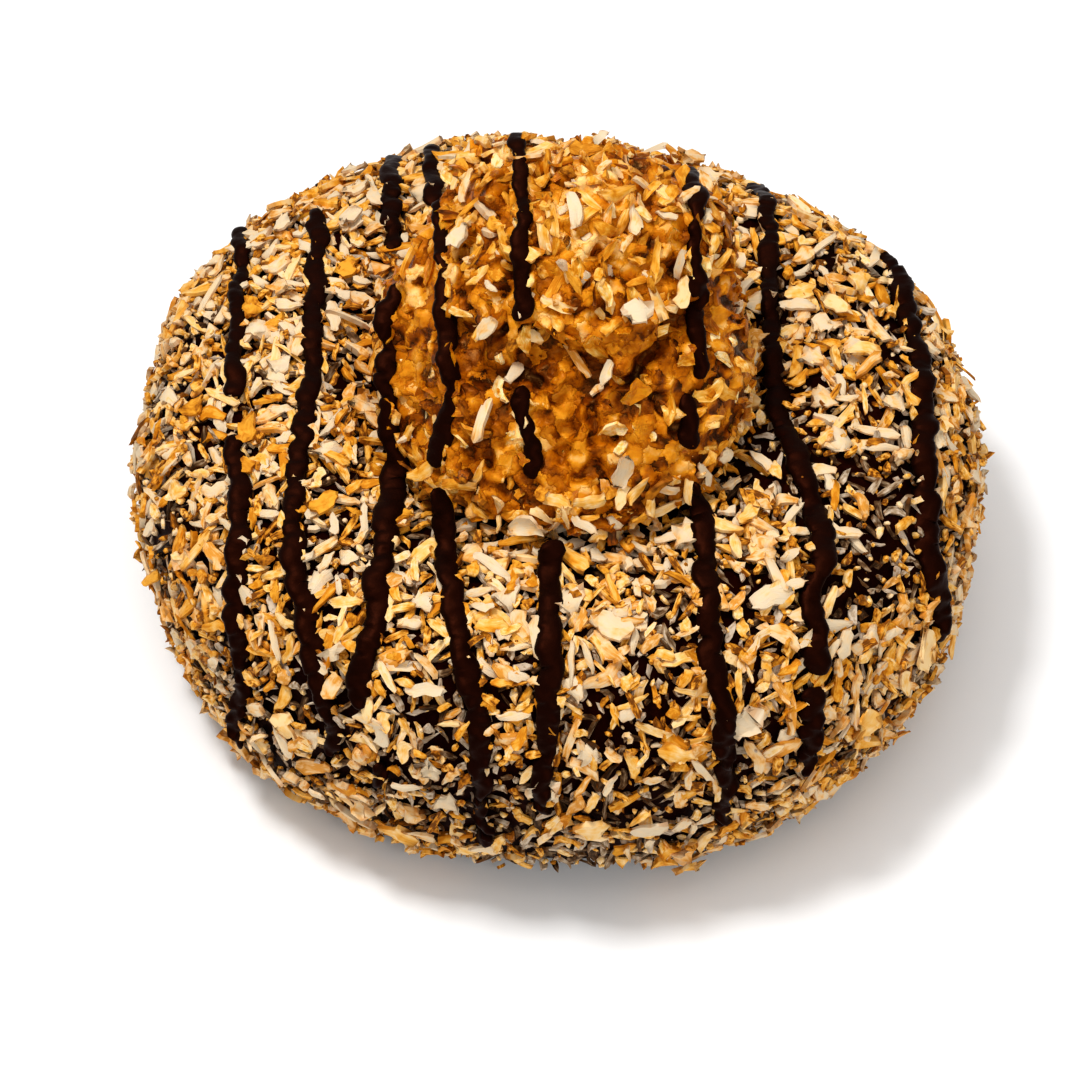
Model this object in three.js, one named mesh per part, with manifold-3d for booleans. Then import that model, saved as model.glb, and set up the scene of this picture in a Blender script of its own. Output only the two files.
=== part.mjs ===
// A chocolate macaroon doughnut: a coated ring, thick with toasted coconut, and a coconut macaroon
// set down over its hole. Millimetres, +Z up. The ring stands on z = 0 round the Z axis, and the
// front of the piece, where the macaroon's split shows, faces -Y.
import * as THREE from 'three';
import { mergeVertices } from 'three/addons/utils/BufferGeometryUtils.js';
import Module from 'manifold-3d';

const wasm = await Module();
wasm.setup();

// Driving dimensions of the ring.
const RING_OUTER = 46.2; // mean radius over the coconut
const HOLE = 7.6; // radius of the hole at its narrowest
const RING_HEIGHT = 36.4;
const WAIST = 16.4; // height of the widest line
const SQUARENESS = 2.3; // 2 would be a plain ellipse
const SETTLE = 2.5; // how far the round underside has flattened on the table
const RING_COLUMNS = 72;
const RING_ROWS = 28;

// The ring's outline is no true circle: each lobe has a count round the ring, a share of the
// outer radius and the direction in degrees, from +X, in which it first swells.
const LOBES = [
  { count: 2, share: 0.033, towards: -14 },
  { count: 3, share: 0.011, towards: 22 },
  { count: 4, share: 0.007, towards: 41 },
  { count: 5, share: 0.007, towards: 18 },
];
const RING_LUMP = { height: 0.5, spacing: 21, seed: 2 };

// Driving dimensions of the macaroon.
const MACAROON_TOP = 62;
const MACAROON_BULGE = 19.6; // radius where it is widest
const PLUG_END = 20; // the lowest point of the part that sinks into the hole
const SEAT_GAP = 0.3; // clear space left between the macaroon and the ring
const MACAROON_SQUARENESS = 2.35; // of its outline seen from above
const FOOT_CENTRE = { x: 1.0, y: -0.8 };
// How far the upper part sits from above the foot, and the heights between which it leans over.
const LEAN = { x: 1.2, y: 6.0, from: RING_HEIGHT + 1, to: MACAROON_TOP - 6 };
const TOP_DEPTH = 0.86; // depth of the top, front to back, as a share of its width
const MACAROON_LUMP = { height: 0.75, spacing: 15, seed: 5 };
const POLE = 6; // radius inside which lumps turn from sideways to upwards
const MACAROON_COLUMNS = 60;
const MACAROON_ROWS = 26;

// The split across the macaroon's front, under the lip of its upper clump.
const SPLIT = { height: 52, halfHeight: 1.6, depth: 1.8, halfAngle: 46 };
const LIP = { height: 55.4, halfHeight: 2.2, depth: 0.9 };

const degrees = (angle) => THREE.MathUtils.degToRad(angle);

// A bell that is 1 where value is 0 and dies away over width.
const bell = (value, width) => Math.exp(-((value / width) ** 2));

// Gentle lumps: waves along directions spread over the sphere by the golden angle, added up.
function lumps(point, { height, spacing, seed }) {
  const waves = 7;
  const goldenAngle = Math.PI * (3 - Math.sqrt(5));
  let sum = 0;
  for (let wave = 0; wave < waves; wave += 1) {
    const rise = ((wave + 0.5) / waves) * 2 - 1;
    const turn = goldenAngle * (wave + seed);
    const across = Math.sqrt(1 - rise * rise);
    const along = point.x * across * Math.cos(turn) + point.y * across * Math.sin(turn) + point.z * rise;
    sum += Math.sin((along * 2 * Math.PI) / spacing + wave * seed);
  }
  return (height * sum) / Math.sqrt(waves);
}

// One quarter turn of a squared-off ellipse: the share of each half-size reached at an angle.
const squared = (share) => Math.sign(share) * Math.abs(share) ** (2 / SQUARENESS);

// The ring's section, from its inner waist over the crown to the outer waist and back under the
// flat base. Grow makes it bigger all round.
function ringSection(grow) {
  const middle = (RING_OUTER + HOLE) / 2;
  const halfWidth = (RING_OUTER - HOLE) / 2 + grow;
  const points = [];
  for (let row = 0; row <= RING_ROWS; row += 1) {
    const angle = (2 * Math.PI * (row % RING_ROWS)) / RING_ROWS;
    const rise = Math.sin(angle) >= 0 ? RING_HEIGHT - WAIST + grow : WAIST + SETTLE;
    const height = WAIST + rise * squared(Math.sin(angle));
    points.push(new THREE.Vector2(middle + halfWidth * squared(Math.cos(angle)), Math.max(height, -grow)));
  }
  return points;
}

// Turns a profile round Z, moves each point of the surface, and joins it into one closed skin.
function turned(profile, columns, move) {
  const shape = new THREE.LatheGeometry(profile, columns);
  shape.rotateX(Math.PI / 2);
  shape.deleteAttribute('normal');
  shape.deleteAttribute('uv');
  const skin = mergeVertices(shape, 1e-3);
  const corners = skin.attributes.position;
  const point = new THREE.Vector3();
  for (let corner = 0; corner < corners.count; corner += 1) {
    move(point.fromBufferAttribute(corners, corner));
    corners.setXYZ(corner, point.x, point.y, point.z);
  }
  const index = skin.getIndex().array;
  const kept = [];
  for (let first = 0; first < index.length; first += 3) {
    const [a, b, c] = index.slice(first, first + 3);
    if (a !== b && b !== c && c !== a) kept.push(a, b, c);
  }
  skin.setIndex(kept);
  return skin;
}

// Swells the ring's outline into its lobes, and its sides and crown into low heaps. The hole
// stays round and the base stays flat.
function settleRing(point) {
  const angle = Math.atan2(point.y, point.x);
  const radius = Math.hypot(point.x, point.y);
  let swell = 0;
  for (const { count, share, towards } of LOBES) {
    swell += share * Math.cos(count * (angle - degrees(towards)));
  }
  const outwards = (radius - HOLE) / (RING_OUTER - HOLE);
  const clearOfBase = THREE.MathUtils.smoothstep(point.z, 0, RING_HEIGHT / 4);
  const heap = lumps(point, RING_LUMP) * clearOfBase * outwards;
  const stretch = 1 + (RING_OUTER * swell * outwards + heap) / radius;
  point.x *= stretch;
  point.y *= stretch;
  point.z += heap * clearOfBase;
}

const ringSkin = (grow) => turned(ringSection(grow), RING_COLUMNS, settleRing);

// The macaroon's profile, from the bottom of its plug up its bulging side to the top.
function macaroonProfile() {
  const sidePoints = [
    [0, PLUG_END],
    [0.36 * MACAROON_BULGE, PLUG_END + 0.8],
    [0.66 * MACAROON_BULGE, PLUG_END + 5],
    [0.88 * MACAROON_BULGE, PLUG_END + 11],
    [0.965 * MACAROON_BULGE, PLUG_END + 15],
    [MACAROON_BULGE, PLUG_END + 19],
    [0.975 * MACAROON_BULGE, PLUG_END + 24],
    [0.9 * MACAROON_BULGE, PLUG_END + 29.5],
    [0.75 * MACAROON_BULGE, PLUG_END + 35],
    [0.48 * MACAROON_BULGE, MACAROON_TOP - 1.8],
    [0.24 * MACAROON_BULGE, MACAROON_TOP - 0.4],
    [0, MACAROON_TOP],
  ].map(([radius, height]) => new THREE.Vector2(radius, height));
  const points = new THREE.SplineCurve(sidePoints).getSpacedPoints(MACAROON_ROWS);
  points[0].x = 0;
  points[MACAROON_ROWS].x = 0;
  return points;
}

// Makes the turned macaroon squarish in plan, lumpy, split across its front, and leaning back.
function settleMacaroon(point) {
  const angle = Math.atan2(point.y, point.x);
  const radius = Math.hypot(point.x, point.y);
  const power = MACAROON_SQUARENESS;
  const corner = (Math.abs(Math.cos(angle)) ** power + Math.abs(Math.sin(angle)) ** power) ** (-1 / power);
  const fromFront = (Math.acos(Math.cos(angle + Math.PI / 2)) * 180) / Math.PI;
  const front = bell(fromFront, SPLIT.halfAngle);
  const split = -SPLIT.depth * bell(point.z - SPLIT.height, SPLIT.halfHeight);
  const lip = LIP.depth * bell(point.z - LIP.height, LIP.halfHeight);
  const clump = lumps(point, MACAROON_LUMP);
  const sideways = Math.min(radius / POLE, 1);
  const outwards = ((split + lip) * front + clump) * sideways;
  const stretch = radius > 0 ? corner + outwards / radius : 1;
  const leant = THREE.MathUtils.smoothstep(point.z, LEAN.from, LEAN.to);
  const depth = THREE.MathUtils.lerp(1, TOP_DEPTH, leant);
  const clearOfPlug = THREE.MathUtils.smoothstep(point.z, PLUG_END, RING_HEIGHT);
  point.z += clump * (1 - sideways / 2) * clearOfPlug;
  point.x = point.x * stretch + FOOT_CENTRE.x + leant * LEAN.x;
  point.y = point.y * stretch * depth + FOOT_CENTRE.y + leant * LEAN.y;
}

// A closed skin as a solid that can be cut, and a cut solid as a geometry again.
function toSolid(skin) {
  const vertProperties = new Float32Array(skin.attributes.position.array);
  const triVerts = new Uint32Array(skin.getIndex().array);
  return new wasm.Manifold(new wasm.Mesh({ numProp: 3, vertProperties, triVerts }));
}

function toGeometry(solid) {
  const { vertProperties, triVerts } = solid.getMesh();
  const geometry = new THREE.BufferGeometry();
  geometry.setAttribute('position', new THREE.BufferAttribute(new Float32Array(vertProperties), 3));
  geometry.setIndex(new THREE.BufferAttribute(new Uint32Array(triVerts), 1));
  return geometry;
}

// The macaroon's underside takes the form of the ring it sits on, a seat gap clear of it.
function macaroonGeometry() {
  const lump = toSolid(turned(macaroonProfile(), MACAROON_COLUMNS, settleMacaroon));
  return toGeometry(lump.subtract(toSolid(ringSkin(SEAT_GAP))));
}

function piece(name, geometry, color, roughness) {
  const material = new THREE.MeshStandardMaterial({ color, roughness, metalness: 0 });
  const mesh = new THREE.Mesh(geometry, material);
  mesh.name = name;
  return mesh;
}

const group = new THREE.Group();
group.add(piece('doughnut', ringSkin(0), 0xb98a50, 0.7));
group.add(piece('macaroon', macaroonGeometry(), 0xc87a22, 0.4));

export default group;
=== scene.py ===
# %% [markdown]
# # A chocolate macaroon doughnut
#
# A ring doughnut is dipped in dark chocolate and rolled in toasted coconut while the chocolate is wet. A
# scoop of moist coconut macaroon closes the hole and stands above the ring, and thin lines of chocolate are
# thrown across both.
#
# The imported CAD model holds the two true volumes. Here each gets its real surface: a chocolate skin under
# thousands of loose flakes, a sticky heap of shreds, and eight strands that lie on whatever is under them.
# The CAD model comes first, so that the skins, flakes and strands below can be laid on its surfaces.

# %% Load the frame
import math

import bmesh
import bpy
import numpy as np
from mathutils import Matrix, Vector, noise
from mathutils.bvhtree import BVHTree


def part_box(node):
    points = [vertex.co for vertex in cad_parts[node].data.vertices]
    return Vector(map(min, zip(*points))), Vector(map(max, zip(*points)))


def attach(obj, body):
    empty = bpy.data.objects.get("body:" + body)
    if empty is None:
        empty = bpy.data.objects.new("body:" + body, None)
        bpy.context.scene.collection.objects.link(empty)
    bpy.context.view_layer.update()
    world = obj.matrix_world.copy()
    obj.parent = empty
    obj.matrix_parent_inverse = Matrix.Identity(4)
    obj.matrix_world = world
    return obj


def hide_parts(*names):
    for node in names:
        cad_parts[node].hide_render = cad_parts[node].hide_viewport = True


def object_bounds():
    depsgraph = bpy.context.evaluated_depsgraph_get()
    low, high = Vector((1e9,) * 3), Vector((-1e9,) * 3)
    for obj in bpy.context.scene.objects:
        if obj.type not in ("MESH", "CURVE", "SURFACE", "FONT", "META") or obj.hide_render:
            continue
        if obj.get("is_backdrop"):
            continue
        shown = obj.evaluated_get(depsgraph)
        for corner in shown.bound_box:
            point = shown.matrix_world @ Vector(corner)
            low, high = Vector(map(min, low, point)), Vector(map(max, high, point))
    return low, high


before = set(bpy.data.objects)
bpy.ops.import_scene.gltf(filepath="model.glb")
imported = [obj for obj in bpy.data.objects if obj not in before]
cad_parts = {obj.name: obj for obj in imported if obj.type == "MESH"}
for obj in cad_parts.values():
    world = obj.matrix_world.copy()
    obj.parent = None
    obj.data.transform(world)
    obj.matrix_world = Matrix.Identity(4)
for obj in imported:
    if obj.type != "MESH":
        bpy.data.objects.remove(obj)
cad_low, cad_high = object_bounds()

MM = 0.001
VOLUMES = ("doughnut", "macaroon")


def surface_of(piece):
    """A piece's surface in a form that rays and nearest points are quickly found on."""
    return BVHTree.FromObject(piece, bpy.context.evaluated_depsgraph_get())


cad_skins = [surface_of(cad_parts[name]) for name in VOLUMES]
ring_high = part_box("doughnut")[1].z

# %% [markdown]
# ## Nodes written as Python
#
# A material or a Geometry Nodes tree is a graph of small nodes. Linked one by one, even a short sum fills a
# page. So one class wraps a node's output, and sums of wires read as sums: `0.3 + 0.2 * speck` adds its two
# Math nodes and returns the result.


# %% A wire that can be calculated with
class Wire:
    """One output of a node, in a sum or on its way into another node."""

    def __init__(self, tree, node, socket):
        self.tree, self.node, self.socket = tree, node, socket

    def out(self, name):
        """Another output of the same node."""
        return Wire(self.tree, self.node, self.tree.socket(self.node.outputs, name))

    def __add__(self, other):
        return maths("ADD", self, other)

    def __sub__(self, other):
        return maths("SUBTRACT", self, other)

    def __rsub__(self, other):
        return maths("SUBTRACT", other, self)

    def __mul__(self, other):
        return maths("MULTIPLY", self, other)

    def __truediv__(self, other):
        return maths("DIVIDE", self, other)

    def __rtruediv__(self, other):
        return maths("DIVIDE", other, self)

    def __pow__(self, other):
        return maths("POWER", self, other)

    __radd__ = __add__
    __rmul__ = __mul__


def tree_of(values):
    """The tree that the wires among some values belong to."""
    return next(value.tree for value in values if isinstance(value, Wire))


def maths(operation, *values):
    """A Math node on wires and numbers."""
    return tree_of(values).node("ShaderNodeMath", {"operation": operation}, dict(enumerate(values)))


# %% [markdown]
# The second class is the tree that the wires belong to. One method adds any node, and it always works in
# the same order: the type, then the settings, because they decide which sockets the node shows, then the
# sockets.


# %% A tree that nodes are added to
class Tree:
    """The node tree of one material or of one Geometry Nodes recipe."""

    def __init__(self, node_tree):
        self.node_tree = node_tree

    def socket(self, sockets, name):
        """The socket of that number, or the one in use of that name, or the first in use if name is None."""
        if isinstance(name, int):
            return sockets[name]
        return next(s for s in sockets if s.enabled and name in (None, s.name))

    def join(self, value, target):
        """Gives a socket its value: a number, a colour, a wire or a list of wires."""
        if isinstance(value, list):
            for one in value:
                self.join(one, target)
        elif isinstance(value, Wire):
            self.node_tree.links.new(value.socket, target)
        else:
            target.default_value = value

    def node(self, kind, settings=None, sockets=None, output=None):
        """A new node, as the wire that leaves it."""
        made = self.node_tree.nodes.new(kind)
        for name, value in (settings or {}).items():
            if name == "stops":
                self.paint_ramp(made.color_ramp, value)
            else:
                setattr(made, name, value)
        for name, value in (sockets or {}).items():
            self.join(value, self.socket(made.inputs, name))
        return Wire(self, made, self.socket(made.outputs, output) if made.outputs else None)

    def paint_ramp(self, ramp, stops):
        while len(ramp.elements) < len(stops):
            ramp.elements.new(1.0)
        for element, (place, colour) in zip(ramp.elements, stops):
            element.position = place
            element.color = colour


# %% [markdown]
# Nearly every finish here is built from the same few patterns: noise for what varies softly, Voronoi cells
# for what comes in separate bits, as shredded food does, and a soft step that turns either into a mask.
# Sizes are given in metres, because the real size of a crumb says more than the scale of a texture.


# %% Patterns and vectors
def between(value, low, high):
    """0 where value is at or below low, 1 at or above high, and smooth between."""
    return value.tree.node("ShaderNodeMapRange", {"interpolation_type": "SMOOTHSTEP"},
                           {"Value": value, "From Min": low, "From Max": high})


def grain(place, size, detail=2.0, roughness=0.5, **more):
    """Noise whose lumps are about size metres across."""
    return place.tree.node("ShaderNodeTexNoise", {}, {"Vector": place, "Scale": 1.0 / size, "Detail": detail,
                                                      "Roughness": roughness, **more})


def bits(place, size, feature="F1"):
    """Voronoi cells about size metres across, each with a colour of its own."""
    return place.tree.node("ShaderNodeTexVoronoi", {"feature": feature}, {"Vector": place, "Scale": 1 / size})


def axes(vector):
    """A vector taken apart into the outputs X, Y and Z."""
    return vector.tree.node("ShaderNodeSeparateXYZ", {}, {"Vector": vector})


def vector(x=0.0, y=0.0, z=0.0):
    return tree_of((x, y, z)).node("ShaderNodeCombineXYZ", {}, {"X": x, "Y": y, "Z": z})


def scaled(direction, distance):
    return direction.tree.node("ShaderNodeVectorMath", {"operation": "SCALE"},
                               {"Vector": direction, "Scale": distance})


def shifted(place, step):
    return place.tree.node("ShaderNodeVectorMath", {"operation": "ADD"}, {0: place, 1: step})


# %% [markdown]
# Every finish is one Principled shader, whose sockets a function fills. Colours are written from 0 to 255,
# as a paint chart gives them, because they are easy to compare with real food that way. Blender counts
# light instead, so each is converted once.


# %% Colours and materials
def srgb(red, green, blue):
    """A colour from 0 to 255, turned into light."""
    light = []
    for channel in (red, green, blue):
        share = channel / 255
        light.append(share / 12.92 if share <= 0.04045 else ((share + 0.055) / 1.055) ** 2.4)
    return (*light, 1.0)


def ramp(value, stops):
    """A colour that follows a number. A stop is a number from 0 to 1 and its colour."""
    lit = [(place, srgb(*colour)) for place, colour in stops]
    return value.tree.node("ShaderNodeValToRGB", {"stops": lit}, {"Fac": value})


def bump(height, strength, distance):
    """Small relief that only the light sees."""
    sockets = {"Strength": strength, "Distance": distance, "Height": height}
    return height.tree.node("ShaderNodeBump", {}, sockets)


def finish(name, fill):
    """A material with one Principled shader, whose sockets the function fill gives."""
    made = bpy.data.materials.new(name)
    made.use_nodes = True
    made.node_tree.nodes.clear()
    tree = Tree(made.node_tree)
    shader = tree.node("ShaderNodeBsdfPrincipled", {}, fill(tree))
    tree.node("ShaderNodeOutputMaterial", {}, {"Surface": shader})
    return made


# %% [markdown]
# ## The chocolate coat
#
# The dipped ring has a smooth skin of chocolate. A lathe-like Spin would make it too even, and the CAD ring
# already has the right sag and slant but is made of flat facets. So its copy is welded, its triangles are
# paired into four-sided faces, and a Subdivision Surface rounds it.

# %% Copy a CAD node as one skin
WELD = 0.001 * MM
NEARLY_FLAT = math.radians(40)
NEARLY_SQUARE = math.radians(60)


def add(name, data):
    """A new object in the scene."""
    made = bpy.data.objects.new(name, data)
    bpy.context.scene.collection.objects.link(made)
    return made


def skin_of(node, name):
    """A welded copy of a CAD node's loose triangles, as a new object."""
    shape = bmesh.new()
    shape.from_mesh(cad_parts[node].data)
    bmesh.ops.remove_doubles(shape, verts=shape.verts, dist=WELD)
    bmesh.ops.join_triangles(shape, faces=shape.faces, angle_face_threshold=NEARLY_FLAT,
                             angle_shape_threshold=NEARLY_SQUARE)
    mesh = bpy.data.meshes.new(name)
    shape.to_mesh(mesh)
    shape.free()
    return add(name, mesh)


def result_of(piece):
    """What a piece's modifiers make of it, as a plain mesh."""
    mesh = bpy.data.meshes.new_from_object(piece.evaluated_get(bpy.context.evaluated_depsgraph_get()))
    mesh.name = piece.name
    return mesh


def settle(piece):
    """Applies a piece's modifiers."""
    mesh = result_of(piece)
    piece.modifiers.clear()
    piece.data = mesh
    return piece


def triangles(piece):
    return sum(len(face.vertices) - 2 for face in piece.data.polygons)


def hand_in(piece):
    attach(piece, "root")
    print(f"{piece.name}: {triangles(piece)} triangles")


# %% [markdown]
# The coat lies a little inside the CAD surface, because the coconut lies on it and reaches just past that
# surface. Chocolate also sets in slow waves, which one noise value for each point gives. The base stays
# flat at the height of the table, where the chocolate set on a tray: there a point only moves sideways.

# %% Shape the coat
COAT_INSET = 1.8 * MM
COAT_WAVE = 0.35 * MM
COAT_WAVE_LENGTH = 9 * MM

coat = skin_of("doughnut", "chocolate_coat")
rounding = coat.modifiers.new("rounding", "SUBSURF")
rounding.levels = rounding.render_levels = 2
settle(coat)

places = [vertex.co.copy() for vertex in coat.data.vertices]
normals = [vertex.normal.copy() for vertex in coat.data.vertices]
for vertex, place, normal in zip(coat.data.vertices, places, normals):
    outward = Vector((normal.x, normal.y, max(normal.z, 0.0)))
    wave = noise.noise(place / COAT_WAVE_LENGTH) * COAT_WAVE
    vertex.co = place + outward * (wave - COAT_INSET)
coat.data.shade_smooth()
print("the coat lies", round(COAT_INSET / MM, 1), "mm inside the CAD ring")

# %% [markdown]
# Dark chocolate that has set under coconut is nearly black, with a dull sheen that changes from place to
# place where crumbs and damp flakes have touched it. One flat colour would look like plastic, so two sizes
# of noise vary the colour and the roughness, and a fine bump breaks up the reflections.


# %% Finish the coat
def set_chocolate(tree):
    place = tree.node("ShaderNodeTexCoord", output="Object")
    cloud = grain(place, 6 * MM, 3.0)
    speck = grain(place, 0.7 * MM, 4.0, 0.65)
    colour = ramp(0.6 * cloud + 0.4 * speck, [(0.35, (12, 1, 0)), (0.55, (24, 4, 1)), (0.75, (48, 17, 7))])
    return {"Base Color": colour, "Roughness": 0.45 + 0.3 * cloud, "Normal": bump(speck, 0.6, 0.25 * MM),
            "Specular IOR Level": 0.1, "Specular Tint": srgb(230, 90, 50)}


coat.data.materials.append(finish("set_chocolate", set_chocolate))
hand_in(coat)
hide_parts("doughnut")

# %% [markdown]
# ## Geometry Nodes recipes
#
# What follows a rule, such as scattered flakes, lumps or a bead of chocolate, is left to Geometry Nodes.
# Each tree is written like a recipe: named inputs, steps, and an end that turns copies into real geometry
# and gives it its finish. Cooking it sets the inputs on a modifier and keeps the result as a plain mesh.


# %% Write a recipe
class Recipe(Tree):
    """A Geometry Nodes tree. Its inputs are a surface, numbers, what else is named, and a finish."""

    def __init__(self, name, *numbers, **others):
        super().__init__(bpy.data.node_groups.new(name, "GeometryNodeTree"))
        inputs = {"Surface": "Geometry", **dict.fromkeys(numbers, "Float"), **others, "Finish": "Material"}
        sockets = self.node_tree.interface
        for label, kind in inputs.items():
            sockets.new_socket(label, in_out="INPUT", socket_type="NodeSocket" + kind)
        sockets.new_socket("Result", in_out="OUTPUT", socket_type="NodeSocketGeometry")
        self.given = self.node("NodeGroupInput")

    def __getitem__(self, label):
        """An input, by its name."""
        return self.given.out(label)

    def read(self, name, kind="FLOAT"):
        """A value that the geometry carries under a name."""
        return self.node("GeometryNodeInputNamedAttribute", {"data_type": kind}, {"Name": name})

    def write(self, geometry, name, value, domain="POINT", kind="FLOAT"):
        """The geometry, now with a value under a name."""
        return self.node("GeometryNodeStoreNamedAttribute", {"data_type": kind, "domain": domain},
                         {"Geometry": geometry, "Name": name, "Value": value})

    def move(self, geometry, step):
        return self.node("GeometryNodeSetPosition", {}, {"Geometry": geometry, "Offset": step})

    def serve(self, geometry):
        """Ends the recipe: real geometry with its finish."""
        real = self.node("GeometryNodeRealizeInstances", {}, {"Geometry": geometry})
        finished = self.node("GeometryNodeSetMaterial", {}, {"Geometry": real, "Material": self["Finish"]})
        self.node("NodeGroupOutput", {}, {"Result": finished})
        return self


# %% [markdown]
# A modifier knows its inputs by identifiers, not by the names that are read in the tree, so cooking looks
# them up first. The pot is only there to hold the modifier: it uses the source's mesh or curve and leaves
# that unchanged.


# %% Cook a recipe
def cook(name, source, recipe, **inputs):
    """Runs a recipe on an object's data and returns the result as a new plain mesh object."""
    pot = add(name, source.data)
    modifier = pot.modifiers.new(recipe.node_tree.name, "NODES")
    modifier.node_group = recipe.node_tree
    identifiers = {item.name: item.identifier for item in recipe.node_tree.interface.items_tree}
    for label, value in inputs.items():
        modifier[identifiers[label]] = value
    mesh = result_of(pot)
    bpy.data.objects.remove(pot)
    return add(name, mesh)


# %% [markdown]
# ## Moist coconut
#
# Syrup-soaked coconut is amber and slightly see-through: light enters, turns warm and leaves again, so the
# shader has some subsurface scattering. The pits are dark brown, partly the syrup's own colour and partly
# painted shade, the shreds are gold to cream, and syrup leaves a wet shine in patches. How pale a place is
# gets settled where the heap is made, and is read from its attribute `pale`. The crown is painted paler, as
# painted light from above, and the right side is painted darker, as painted shade.


# %% Finish moist coconut
def moist_coconut(tree):
    place = tree.node("ShaderNodeTexCoord", output="Object")
    pale = tree.node("ShaderNodeAttribute", {"attribute_name": "pale"}, output="Fac")
    cloud = grain(place, 5 * MM, 3.0)
    fleck = grain(place, 0.9 * MM, 3.0, 0.6)
    bent = shifted(place, scaled(fleck.out("Color"), 1.6 * MM))
    own = axes(bits(bent, 1.8 * MM).out("Color"))
    open_seam = 1 - between(bits(bent, 1.8 * MM, "DISTANCE_TO_EDGE"), 0.0, 0.12)
    where = axes(place)
    # painted light: the crown above 58 mm is made paler, as if lit from above
    painted_light_on_crown = between(where.out("Z"), 58 * MM, 62 * MM)
    # painted shade: the right side, from 11 mm right of the middle, is made darker
    syrupy = between(where.out("X"), 11 * MM, 17 * MM)
    # the tone follows `pale`, which is low in the pits: partly the syrup's colour, partly painted shade
    soaked = 0.7 * pale - 0.04 + 0.2 * painted_light_on_crown - 0.13 * syrupy
    tone = soaked + 0.35 * own ** 2.0 + 0.5 * (cloud - 0.5) + 0.4 * (fleck - 0.5) - 0.05 * open_seam
    colour = ramp(tone, [(0.04, (48, 16, 0)), (0.15, (112, 50, 0)), (0.3, (176, 98, 2)),
                         (0.52, (218, 144, 32)), (0.8, (248, 206, 136))])
    relief = 0.5 * fleck + 0.6 * own - 0.3 * open_seam
    return {"Base Color": colour, "Roughness": 0.2 + 0.35 * cloud, "Normal": bump(relief, 0.8, 0.3 * MM),
            "IOR": 1.45, "Specular Tint": srgb(255, 190, 110), "Subsurface Weight": 0.15,
            "Subsurface Radius": (1.0, 0.5, 0.15), "Subsurface Scale": 0.5 * MM}


moist = finish("moist_coconut", moist_coconut)
print(moist.name, "has", len(moist.node_tree.nodes), "nodes")

# %% [markdown]
# ## The macaroon's core
#
# Macaroon mix is shredded coconut bound with sugar syrup. Scooped onto the ring it holds together as a heap
# of sticky clumps, with dark pits between them and one split across its front. Sculpting that would take an
# hour, while layers of noise give it in one step: lumps, clumps, and small bits with facets of their own.
# The recipe moves each point in or out, and stores how far it rises out of the pits, for the colour to
# follow: low in the pits the colour is darker, partly the syrup's own colour and partly painted shade.


# %% The relief of packed coconut
def packed_relief():
    tree = Recipe("packed relief", "Inset", "Lumps", "Clumps", "Facets", "Pits", "Split")
    place, normal = tree.node("GeometryNodeInputPosition"), tree.node("GeometryNodeInputNormal")
    where = axes(place)
    lump = grain(place, 7 * MM, 1.0)
    clump = grain(place, 2.2 * MM, 3.0, 0.6)
    bit = bits(shifted(place, scaled(clump.out("Color"), 1.6 * MM)), 1.9 * MM)
    own = axes(bit.out("Color"))
    facet = own - 0.7 * bit
    scraped = between(maths("ABSOLUTE", where.out("X")), 9 * MM, 15 * MM)
    torn = between(grain(place, 3.4 * MM, 2.0, 0.6, Distortion=0.6), 0.5, 0.62)
    hollow = torn * (1 - 0.7 * scraped)
    off_split = where.out("Z") - tree["Split"] + 9 * MM * (lump - 0.5)
    in_front = between(0 - where.out("Y"), 2 * MM, 6 * MM)
    split = (1 - between(maths("ABSOLUTE", off_split), 0.2 * MM, 1.4 * MM)) * in_front
    pit = maths("MAXIMUM", hollow, 1.3 * split)
    height = (tree["Lumps"] * (lump - 0.5) + tree["Clumps"] * (clump - 0.5) + tree["Facets"] * facet
              - tree["Pits"] * pit)
    # the rise is low in the pits and the split, which darkens the colour there: partly painted shade
    clear_of_pits = 1 - 0.85 * maths("MAXIMUM", hollow, split)
    rise = clear_of_pits * (0.35 + 0.5 * own.out("Y") * own.out("Y") + 0.5 * (clump - 0.5) - 0.35 * bit)
    stored = tree.write(tree["Surface"], "rise", rise)
    return tree.serve(tree.move(stored, scaled(normal, height - tree["Inset"])))


# %% [markdown]
# Fine pits need a fine and even mesh, and the CAD node's copy is neither. A voxel Remesh gives it one skin
# of small equal squares, and rounds off the CAD facets at the same time.

# %% Remesh the core and give it its relief
CORE_VOXEL = 0.42 * MM


def even_out(piece, voxel):
    """Adds a voxel Remesh."""
    remesh = piece.modifiers.new("even mesh", "REMESH")
    remesh.mode = "VOXEL"
    remesh.voxel_size = voxel
    return piece


macaroon_skin = settle(even_out(skin_of("macaroon", "macaroon_skin"), CORE_VOXEL))
core = cook("macaroon_core", macaroon_skin, packed_relief(), Inset=0.9 * MM, Lumps=1.8 * MM, Clumps=1.2 * MM,
            Facets=0.7 * MM, Pits=1.6 * MM, Split=51.5 * MM, Finish=moist)
bpy.data.objects.remove(macaroon_skin)
core.data.shade_smooth()
print("macaroon core:", triangles(core), "triangles")

# %% [markdown]
# ## One flake of coconut
#
# Thousands of flakes are needed, so each kind gets a tray of a dozen or two sample flakes with only a few
# dozen faces each, which are repeated, turned and stretched. A sample's UV map holds the place across and
# along it, and its rim is marked sharp, so that a thin flake keeps crisp edges while its skins are shaded
# smooth.


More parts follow.
